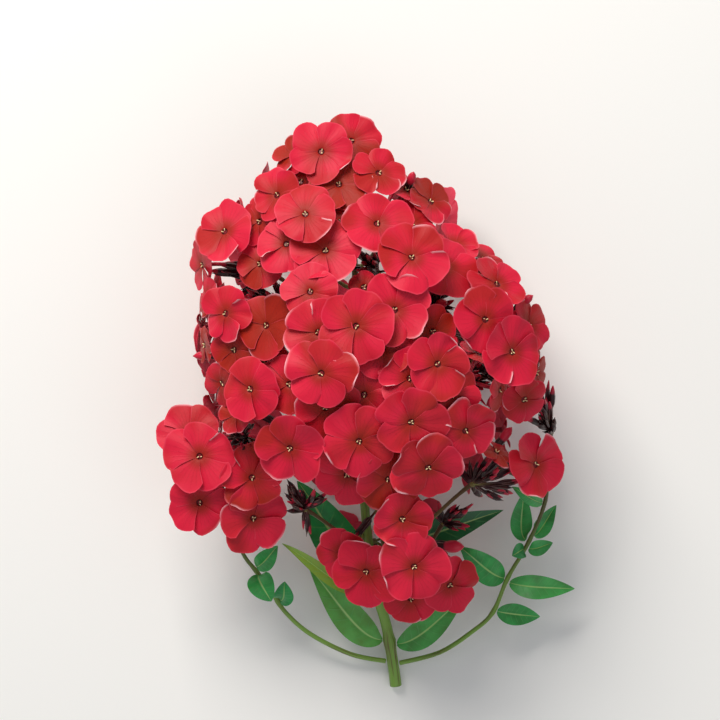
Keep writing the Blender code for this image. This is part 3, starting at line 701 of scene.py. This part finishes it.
def add_mouth(heap, limb, chance):
    """The throat as a small cup under the petals, dark red to near black as painted shade inside the tube,
    and two or three cream anthers standing in it.
    """
    pick = chance.uniform
    way = limb.way
    side, other = across(way)
    turn = np.arange(10) * 2 * pi / 10
    ring = side * np.cos(turn)[:, None] + other * np.sin(turn)[:, None]
    profile = ((0.0002, -0.0024), (0.00095, -0.0022), (0.00118, -0.0012), (0.00112, -0.00085),
               (0.00085, -0.0010), (0.0007, -0.0018), (0.0001, -0.0019))
    # The cup's kinds darken it to near black: painted shade down the throat.
    heap.add_rings(np.stack([limb.middle + ring * r + way * h for r, h in profile]),
                   kind=np.array((0.62, 0.62, 0.64, 0.72, 0.78, 0.80, 0.80)), crest=0.0)
    start = pick(0, 6.28)
    for k in range(int(chance.integers(2, 4))):
        turn = start + k * 2.1 + pick(-0.3, 0.3)
        foot = side * cos(turn) + other * sin(turn)
        lean = unit(way * pick(0.5, 1.2) + foot * 0.8 + side * pick(-0.5, 0.5)
                    + other * pick(-0.5, 0.5))
        along = np.array((-0.0006, -0.00045, -0.00015, 0.0002, 0.0005, 0.00065))
        path = limb.middle + foot * 0.0007 + way * pick(-0.0003, 0.0001) + lean * along[:, None]
        add_rod(heap, path, np.tile(lean, (6, 1)), (0.0001, 0.0002, 0.00025, 0.00025, 0.0002, 0.0001),
                unit(np.cross(lean, foot + other * 0.3)), 6, 0.95)


# Radius and tissue of a bud by the length still left to its tip, in metres: a plump one, and the two slim
# ones, with a closed red corolla or with only the open teeth of its calyx.
PLUMP_FORM = ((0.0, 0.0008, 0.0022, 0.0042, 0.0058, 0.0064, 0.0090, 0.0102, 0.0115),
              (0.0001, 0.0008, 0.00155, 0.00165, 0.00125, 0.0014, 0.00135, 0.0009, 0.0006))
PLUMP_KIND = ((0.0, 0.0056, 0.0062, 0.0105, 0.0125), (0.57, 0.53, 0.34, 0.22, 0.14))
SLIM_FORM_AT = (0.0, 0.0012, 0.003, 0.0045, 0.006, 0.0095, 0.0115)
SLIM_KIND_AT = (0.0, 0.0036, 0.0044, 0.0105, 0.0125)
CLOSED = ((0.0001, 0.0006, 0.00095, 0.00115, 0.0014, 0.00135, 0.0006, 0.0006),
          (0.56, 0.50, 0.40, 0.22, 0.14, 0.0))
OPEN_TIPPED = ((0.0001, 0.0003, 0.0011, 0.00145, 0.0015, 0.0014, 0.0006, 0.0006),
               (0.36, 0.38, 0.40, 0.22, 0.14, 0.0))


def add_bud(heap, hub, tip, seed, girth=1.0, plump=1.0):
    """A closed bud: pedicel, ribbed calyx and the furled, pointed corolla standing out of it.

    An older, plumper bud is longer and thicker by the same factor, and more of it is red corolla.
    """
    chance = np.random.default_rng(seed)
    span = float(np.linalg.norm(tip - hub))
    bow = vec(chance.uniform(-1, 1), chance.uniform(-1, 1), chance.uniform(-0.5, 1)) * span * 0.06
    points, ways = bezier(hub, hub + (tip - hub) * 0.35 + bow, hub + (tip - hub) * 0.7 + bow, tip,
                          np.linspace(0, 1, 24))
    left = np.linspace(span, 0, 24)
    guide = unit(np.cross(unit(tip - hub), vec(0.2, 0.9, 0.4)))
    closed = chance.uniform(0, 1) < 0.6
    if plump > 1.05:
        depth = left / plump
        form = np.interp(depth, *PLUMP_FORM)
        form = np.where(depth < 0.0102, form * plump, form)
        kind = np.interp(depth, *PLUMP_KIND)
        ribbed = (depth > 0.0058) & (depth < 0.0102)
    else:
        form, kind = CLOSED if closed else OPEN_TIPPED
        form = girth * np.interp(left, SLIM_FORM_AT + (span,), form)
        kind = np.interp(left, SLIM_KIND_AT + (span,), kind)
        ribbed = (left > 0.0035) & (left < 0.0105)
    radii = form[:, None] * (1 + 0.10 * np.cos(np.arange(BUD_SIDES) * pi) * ribbed[:, None])
    add_rod(heap, points, ways, radii, guide, BUD_SIDES, kind, np.tile(BUD_CREST, len(points) + 2))


def add_spent(heap, hub, tip, seed, count):
    """Slender spent calyces beside a bud, each on a pedicel of its own from the same hub."""
    chance = np.random.default_rng(seed + 17)
    for k in range(count):
        aside = vec(*chance.uniform(-1, 1, 3)) * vec(0.0042, 0.0042, 0.0030)
        end = hub + (tip - hub) * chance.uniform(0.62, 0.98) + aside
        end[2] = max(end[2], 0.004)
        add_bud(heap, hub, end, seed + 31 * k + 3, chance.uniform(0.55, 0.8))


def add_peduncle(heap, line, leave, hub):
    """The cyme's own stalk from the stem to its hub, swelling where the pedicels part."""
    start, out = foot_on(line, leave, hub)
    span = float(np.linalg.norm(hub - start))
    share = np.linspace(0, 1, 16)
    points, ways = bezier(start, start + out * span * 0.3, hub - (hub - start) * 0.35, hub, share)
    guide = unit(np.cross(ways.mean(axis=0), vec(0.3, 0.2, 0.93)))
    radii = np.interp(share, (0, 0.1, 0.85, 1), (0.0011, 0.0009, 0.00085, 0.0012))
    add_rod(heap, points, ways, radii, guide, 9, np.linspace(0.0, 0.10, 16))
    down, round_ = np.meshgrid(np.linspace(pi, 0, 7), np.arange(10) * pi / 5, indexing="ij")
    ball = np.stack((np.sin(down) * np.cos(round_), np.sin(down) * np.sin(round_), np.cos(down)), axis=-1)
    heap.add_rings(hub + ball * HUB_RADIUS, kind=0.05, crest=0.0)


# ---------------------------------------------------------------- leaves and stems

LEAF_HALF_THICKNESS = 0.00022
STALK_HALF_WIDTH = 0.0007
SIDE_VEINS = 9
NODE_SWELL = 0.28
NODE_REACH = 4.5
STEM_SIDES = 16


def add_leaf(heap, line, leave, tip, width, arch, yellow):
    """A lance-shaped blade as a closed shell of two grids.

    The blade follows one curve from the stem to its tip. Its half width grows from the leaf stalk to a
    belly and closes to a point. It folds up from the midrib, its margin waves a little, and the midrib and
    the side veins are grooves.
    """
    chance = np.random.default_rng(tip[0] * 1000 + tip[1])
    end = spot(tip[0], tip[1], tip[2] * MM)
    start, out = foot_on(line, leave, end)
    start = start + out * 0.0004
    span = float(np.linalg.norm(end - start))
    lift = vec(0, 0, arch * MM)
    share = np.linspace(0, 1, 29)
    point, way = bezier(start, start + out * span * 0.25 + lift, end - (end - start) * 0.35 + lift, end,
                        share)
    side = unit(np.cross(way, vec(0, 0, 1)))[:, None]
    up = np.cross(side, way[:, None])
    t = share[:, None]
    u = np.linspace(-1, 1, 13)[None]
    off = np.abs(u)
    belly = np.sin(pi * t ** 0.85) ** 0.9 * (1 - 0.15 * t)
    half = STALK_HALF_WIDTH * (1 - t ** 3) + width * MM / 2 * belly + 0.00008
    wave = 0.05 * np.sin(t * 11 + chance.uniform(0, 6)) * belly
    raised = (off * 0.28 * half + u ** 2 * wave * half * np.sign(u)
              - np.exp(-(u / 0.10) ** 2) * 0.00035 * belly)
    ribs = 0.5 + 0.5 * np.cos((t - off * 0.10) * 2 * pi * SIDE_VEINS)
    raised = (raised - 0.00009 * ribs ** 4 * belly * np.minimum(off * 4, 1))[..., None]
    flat = point[:, None] + side * (u * half)[..., None]
    heap.add_shell(flat + up * (raised + LEAF_HALF_THICKNESS), flat + up * (raised - LEAF_HALF_THICKNESS),
                   grid_maps((u[0] + 1) / 2, share), flip=True, shift=yellow)


def add_stem(heap, rows, base, tip, nodes):
    """A stem: rings along its smooth axis, thicker at the leaf nodes, with a pale pith in its cut end."""
    points = np.array(catmull([spot(x, y, z * MM) for x, y, z in rows], np.arange(6) / 6))
    ways = unit(np.gradient(points, axis=0))
    steps = MIDDLE_Y - points[:, 1] / STEP
    radii = np.linspace(base, tip, len(points))
    for level in nodes:
        radii = radii * (1 + NODE_SWELL * np.exp(-((steps - level) / NODE_REACH) ** 2))
    rings = np.arange(-3, len(points) + 1).clip(0, len(points) - 1)
    size = radii[rings]
    size[:3] *= (0.01, 0.55, 0.9)
    size[-1] *= 0.02
    grid = swept(points[rings], ways[rings], size, vec(1, 0, 0), STEM_SIDES)
    grid[1] -= ways[0] * 0.00003
    grid[3] += ways[0] * 0.00025
    pith = np.zeros(len(rings))
    pith[:3] = (1.0, 0.9, 0.45)
    heap.add_rings(grid, pith=pith, tip=np.linspace(0, 1, len(points))[rings])


# ---------------------------------------------------------------- materials

# The nodes in use: Blender's name, settings, inputs in the order they are given, and the output to read.
KINDS = {
    "uv": ("UVMap", {"uv_map": "surface"}, (), "UV"),
    "place": ("TexCoord", {}, (), "Object"),
    "u": ("SeparateXYZ", {}, (0,), 0),
    "v": ("SeparateXYZ", {}, (0,), 1),
    "scaled": ("Mapping", {}, ("Vector", "Scale"), 0),
    "noise": ("TexNoise", {}, ("Vector", "Scale", "Detail"), "Fac"),
    "ramp": ("ValToRGB", {}, ("Fac",), "Color"),
    "mix": ("Mix", {"data_type": "RGBA"}, (0, 6, 7), 2),
    "spread": ("MapRange", {"interpolation_type": "SMOOTHSTEP"}, (0, 1, 2, 3, 4), 0),
    "bump": ("Bump", {}, ("Height", "Strength", "Distance"), 0),
}
for short, operation in (
        ("plus", "ADD"), ("minus", "SUBTRACT"), ("times", "MULTIPLY"), ("most", "MAXIMUM"),
        ("below", "LESS_THAN"), ("above", "GREATER_THAN"), ("size", "ABSOLUTE"), ("sine", "SINE"),
        ("cosine", "COSINE")):
    KINDS[short] = ("Math", {"operation": operation}, (0, 1), 0)
for short in ("tone", "reach", "pale", "under", "kind", "crest", "shift", "tip", "pith"):
    KINDS[short] = ("Attribute", {"attribute_name": short}, (), "Fac")


def colour(text):
    """A linear colour from an sRGB hex value."""
    values = [int(text[i:i + 2], 16) / 255 for i in (1, 3, 5)]
    return tuple(v / 12.92 if v <= 0.04045 else ((v + 0.055) / 1.055) ** 2.4 for v in values) + (1.0,)


def feed(made, inputs):
    """Link a node's inputs to sockets, or give them their values: numbers or hex colours."""
    for key, value in inputs.items():
        if isinstance(value, bpy.types.NodeSocket):
            made.id_data.links.new(value, made.inputs[key])
        else:
            made.inputs[key].default_value = colour(value) if isinstance(value, str) else value


def node(tree, kind, *inputs, stops=(), **settings):
    """Add a node with its inputs, settings and, on a ramp, its stops, and give the output to read."""
    name, fixed, order, output = KINDS[kind]
    made = tree.nodes.new("ShaderNode" + name)
    for key, value in {**fixed, **settings}.items():
        setattr(made, key, value)
    feed(made, dict(zip(order, inputs)))
    for _ in stops[2:]:
        made.color_ramp.elements.new(0.5)
    for element, (place, text) in zip(made.color_ramp.elements if stops else (), stops):
        element.position = place
        element.color = colour(text)
    return made.outputs[output]


def finish_named(name):
    """A new material, its shader, and the function that adds nodes to it."""
    look = bpy.data.materials.new(name)
    look.use_nodes = True
    return look, look.node_tree.nodes["Principled BSDF"], functools.partial(node, look.node_tree)


# Fresh petal: thin, waxy-soft tissue with a silky scatter at its surface and fine veins. Its crimson turns
# brick red as painted shade on shaded flowers and in random clouds, a darker ring round the throat is
# partly the flower's eye and partly painted shade, the throat is near black as painted shade, and a lighter
# margin and pale crescents are painted highlights. Its grain is 1.1 mm and its clouds are 22 mm across; the
# veins are drawn coarser than real ones to show.
def petal_satin():
    look, skin, add = finish_named("petal_satin")
    u, v = add("u", add("uv")), add("v", add("uv"))
    grain = add("noise", add("place"), 900.0, 3.0)
    cloud = add("noise", add("place"), 45.0, 1.0)
    reach = add("reach")
    # Crimson turns brick red as painted shade: on shaded flowers and in random clouds.
    tone = add("plus", add("tone"), add("spread", cloud, 0.38, 0.62, -0.35, 0.35))
    base = add("ramp", tone, stops=((0.0, "#D41A3A"), (0.35, "#C61B2E"), (0.80, "#A2200F")))
    lines = add("sine", add("plus", add("times", add("minus", u, 0.5), 52.0), add("times", grain, 4.0)))
    veins = add("times", add("spread", lines, 0.45, 1.0), add("spread", v, 0.95, 0.5, 0.25, 1.0))
    base = add("mix", add("times", veins, 0.16), base, "#8E1020")
    # A darker brick-orange ring round the throat, partly the flower's own darker eye and partly painted
    # shade in the funnel.
    base = add("mix", add("times", add("spread", reach, 0.55, 0.15), 0.85), base, "#96200C")
    # Near black at the throat: painted shade inside the tube.
    base = add("mix", add("spread", reach, 0.125, 0.07), base, "#2E0606")
    # A lighter margin along the rim and the side edges: painted highlight where the edges catch the light.
    off = add("size", add("minus", u, 0.5))
    edge = add("most", add("spread", v, 0.94, 1.0), add("spread", off, 0.465, 0.5))
    base = add("mix", add("times", edge, 0.38), base, "#EE5068")
    # Pale pink crescents on rims and curled lips: painted highlights.
    base = add("mix", add("pale"), base, "#FFC4CC")
    base = add("mix", add("times", add("under"), 0.45), base, "#D8506A")
    height = add("plus", add("times", veins, -0.7), add("times", grain, 0.5))
    feed(skin, {"Base Color": base, "Roughness": 0.5, "Specular IOR Level": 0.22, "Sheen Weight": 0.06,
                "Sheen Roughness": 0.5, "Sheen Tint": "#FF9AA8",
                "Normal": add("bump", height, 0.25, 0.0002)})
    return look


# Pedicel, calyx, tube and bud: slightly waxy tissue, green where it leaves the stem and flushed with dark
# purple above, and a dull red tube. Broken pale streaks on the calyx's rib crests are painted highlights,
# and the throat's cup runs to near black as painted shade. Its mottle is 6 mm across.
def calyx_flushed():
    look, skin, add = finish_named("calyx_flushed")
    kind, crest = add("kind"), add("crest")
    cloud = add("noise", add("place"), 160.0, 3.0)
    # Kinds 0.62 to 0.90 run from dark red to near black for the throat's cup: painted shade inside the
    # tube.
    base = add("ramp", kind, stops=(
        (0.00, "#8A9A48"), (0.06, "#6E5C34"), (0.12, "#44201E"), (0.20, "#3A0A16"), (0.38, "#26060E"),
        (0.42, "#5A1C26"), (0.46, "#98263C"), (0.56, "#C8203C"), (0.62, "#7A1420"), (0.70, "#4A0A0C"),
        (0.80, "#160404"), (0.90, "#160404"), (0.95, "#F6DCA8"),
    ))
    mottled = add("mix", add("spread", cloud, 0.4, 0.75, 0.0, 0.14), base, "#5A4A2C")
    outer = add("below", kind, 0.40)
    # Broken pale streaks on the rib crests: painted highlights.
    streak = add("times", add("spread", crest, 0.80, 1.0), add("above", kind, 0.19))
    streak = add("times", add("times", streak, outer), add("spread", cloud, 0.46, 0.58, 0.0, 0.65))
    feed(skin, {"Base Color": add("mix", streak, add("mix", outer, base, mottled), "#D8A8A0"),
                "Roughness": 0.34, "Specular IOR Level": 0.3, "Normal": add("bump", cloud, 0.2, 0.0003)})
    return look


# Leaf: a smooth cuticle over deep green tissue, lighter along the midrib and side veins, paler beneath.
# Its clouds are 8 mm across, and it has nine side veins as the blade's grooves do.
def leaf_cuticle():
    look, skin, add = finish_named("leaf_cuticle")
    u, v = add("u", add("uv")), add("v", add("uv"))
    cloud = add("noise", add("place"), 130.0, 4.0)
    shift = add("shift")
    off = add("size", add("minus", u, 0.5))
    base = add("ramp", cloud, stops=((0.3, "#157A36"), (0.55, "#20A04C"), (0.8, "#44BC60")))
    base = add("mix", add("times", shift, 0.75), base, "#86A83A")
    base = add("mix", add("spread", shift, 0.0, -1.0, 0.0, 0.75), base, "#0E4A2A")
    rib = add("spread", off, 0.045, 0.012)
    phase = add("times", add("minus", v, add("times", off, 0.20)), 2 * pi * SIDE_VEINS)
    vein = add("times", add("spread", add("cosine", phase), 0.86, 1.0), add("spread", off, 0.48, 0.30))
    base = add("mix", add("times", vein, 0.35), base, "#5CA858")
    base = add("mix", add("times", rib, 0.65), base, "#B4D880")
    base = add("mix", add("times", add("under"), 0.5), base, "#7CAA70")
    height = add("plus", add("times", vein, -1.0), add("times", cloud, 0.8))
    feed(skin, {"Base Color": base, "Roughness": 0.36, "Specular IOR Level": 0.5,
                "Normal": add("bump", height, 0.3, 0.0003)})
    return look


# Stem: a smooth green rind streaked lengthwise with brown-purple, and the pale pith of a fresh cut.
# Its fine grain is 1.4 mm across.
def stem_rind():
    look, skin, add = finish_named("stem_rind")
    streak = add("noise", add("scaled", add("uv"), (9.0, 5.0, 1.0)), 1.6, 4.0)
    fine = add("noise", add("place"), 700.0, 2.0)
    base = add("mix", add("spread", streak, 0.48, 0.76), "#78A040", "#5A3A26")
    tip, pith = add("tip"), add("pith")
    base = add("mix", add("spread", tip, 0.45, 0.85, 0.0, 0.75), base, "#44261C")
    base = add("mix", add("spread", pith, 0.3, 0.8), base, "#DCE0B0")
    feed(skin, {"Base Color": base, "Roughness": 0.45, "Normal": add("bump", fine, 0.2, 0.0002)})
    return look


# The surface below: white matt paper-smooth board.
def matt_board():
    look, skin, _ = finish_named("matt_board")
    feed(skin, {"Base Color": "#F4F4F2", "Roughness": 0.9})
    return look


# ---------------------------------------------------------------- the plant

PETAL_LOOK = petal_satin()
CALYX_LOOK = calyx_flushed()
LEAF_LOOK = leaf_cuticle()
STEM_LOOK = stem_rind()

LINES = {name: stem_line(*row[:3]) for name, row in STEMS.items()}

cymes = {name: ("main", [flower(row, "main") for row in rows]) for name, rows in CYMES.items()}
for name, (stem, rows) in SIDE_CYMES.items():
    cymes[name] = (stem, [flower(row, stem) for row in rows])
stack([limb for _, limbs in cymes.values() for limb in limbs])
for name, (side, row, places) in UNDERSIDE.items():
    cymes[name] = ("main", [under_flower(side, row, *place) for place in places])

branches = {}
for name, (stem, limbs) in cymes.items():
    leave = LEAVE_AT.get(name, leave_row(limbs, stem))
    branches[name] = (stem, leave, hub_of(limbs, LINES[stem]), limbs, GAP_BUDS.get(name, []))
for name, (stem, leave, place, tips) in BUDS.items():
    limbs = [flower(row, stem) for row in BUD_FLOWERS.get(name, [])]
    branches[name] = (stem, leave, spot(place[0], place[1], place[2] * MM), limbs, tips)

for name, (stem, leave, hub, limbs, tips) in branches.items():
    stalks = Heap()
    add_peduncle(stalks, LINES[stem], leave, hub)
    for limb in limbs:
        add_stalk(stalks, hub, limb)
    for k, (x, y, height, *plump) in enumerate(tips):
        end = spot(x, y, height * MM)
        seed = x * 1000 + y + k
        add_bud(stalks, hub, end, seed, 1.0, *plump)
        if not plump:
            add_spent(stalks, hub, end, seed, 4 if name in BUDS else 3)
    stalks.piece(name + "_stalks", CALYX_LOOK, [name])
    if limbs:
        petals = Heap()
        for limb in limbs:
            add_petals(petals, limb)
        petals.piece(name + "_petals", PETAL_LOOK, [name])

for name, (stem, leave, tip, width, arch) in LEAVES.items():
    blade = Heap()
    add_leaf(blade, LINES[stem], leave, tip, width, arch, YELLOWER.get(name, 0.1))
    blade.piece(name + "_blade", LEAF_LOOK, [name])

for name, row in STEMS.items():
    rod = Heap()
    add_stem(rod, *row)
    rod.piece("stem_" + name + "_rind", STEM_LOOK, ["stem_" + name])


# ---------------------------------------------------------------- floor, lights and camera

bpy.ops.mesh.primitive_plane_add(size=6.0, location=(0, 0, -0.0002))
floor = bpy.context.object
floor.name = "board"
floor.data.materials.append(matt_board())


def area_light(name, place, target, size, power, tint):
    """A soft square light at a place, turned to a target."""
    lamp = bpy.data.lights.new(name, "AREA")
    lamp.shape = "SQUARE"
    lamp.size = size
    lamp.energy = power
    lamp.color = colour(tint)[:3]
    made = shown(name, lamp)
    made.location = place
    made.rotation_euler = (Vector(target) - Vector(place)).to_track_quat("-Z", "Y").to_euler()


area_light("sky_window", (-0.40, 0.95, 1.0), (0, 0, 0.05), 0.7, 19.0, "#FFFAF2")
area_light("front_fill", (0.4, -0.6, 1.2), (0, 0, 0.05), 1.2, 2.5, "#FFFFFF")

world = bpy.data.worlds.new("pale_room")
world.use_nodes = True
feed(world.node_tree.nodes["Background"], {"Color": "#F2F5FA", "Strength": 0.38})
bpy.context.scene.world = world

# The camera looks straight down from far above the flowers' level, and sees 720 steps from edge to edge.
CAMERA_HEIGHT = 1.4
FLOWER_LEVEL = 0.085
SENSOR = 36.0
PICTURE_HALF = 360
lens = bpy.data.cameras.new("above")
lens.sensor_width = SENSOR
lens.lens = SENSOR * CAMERA_HEIGHT / (2 * PICTURE_HALF * STEP)
camera = shown("above", lens)
camera.location = spot(PICTURE_HALF, PICTURE_HALF, FLOWER_LEVEL + CAMERA_HEIGHT)
lens.clip_end = 10.0
bpy.context.scene.camera = camera
bpy.context.scene.view_settings.view_transform = "Standard"
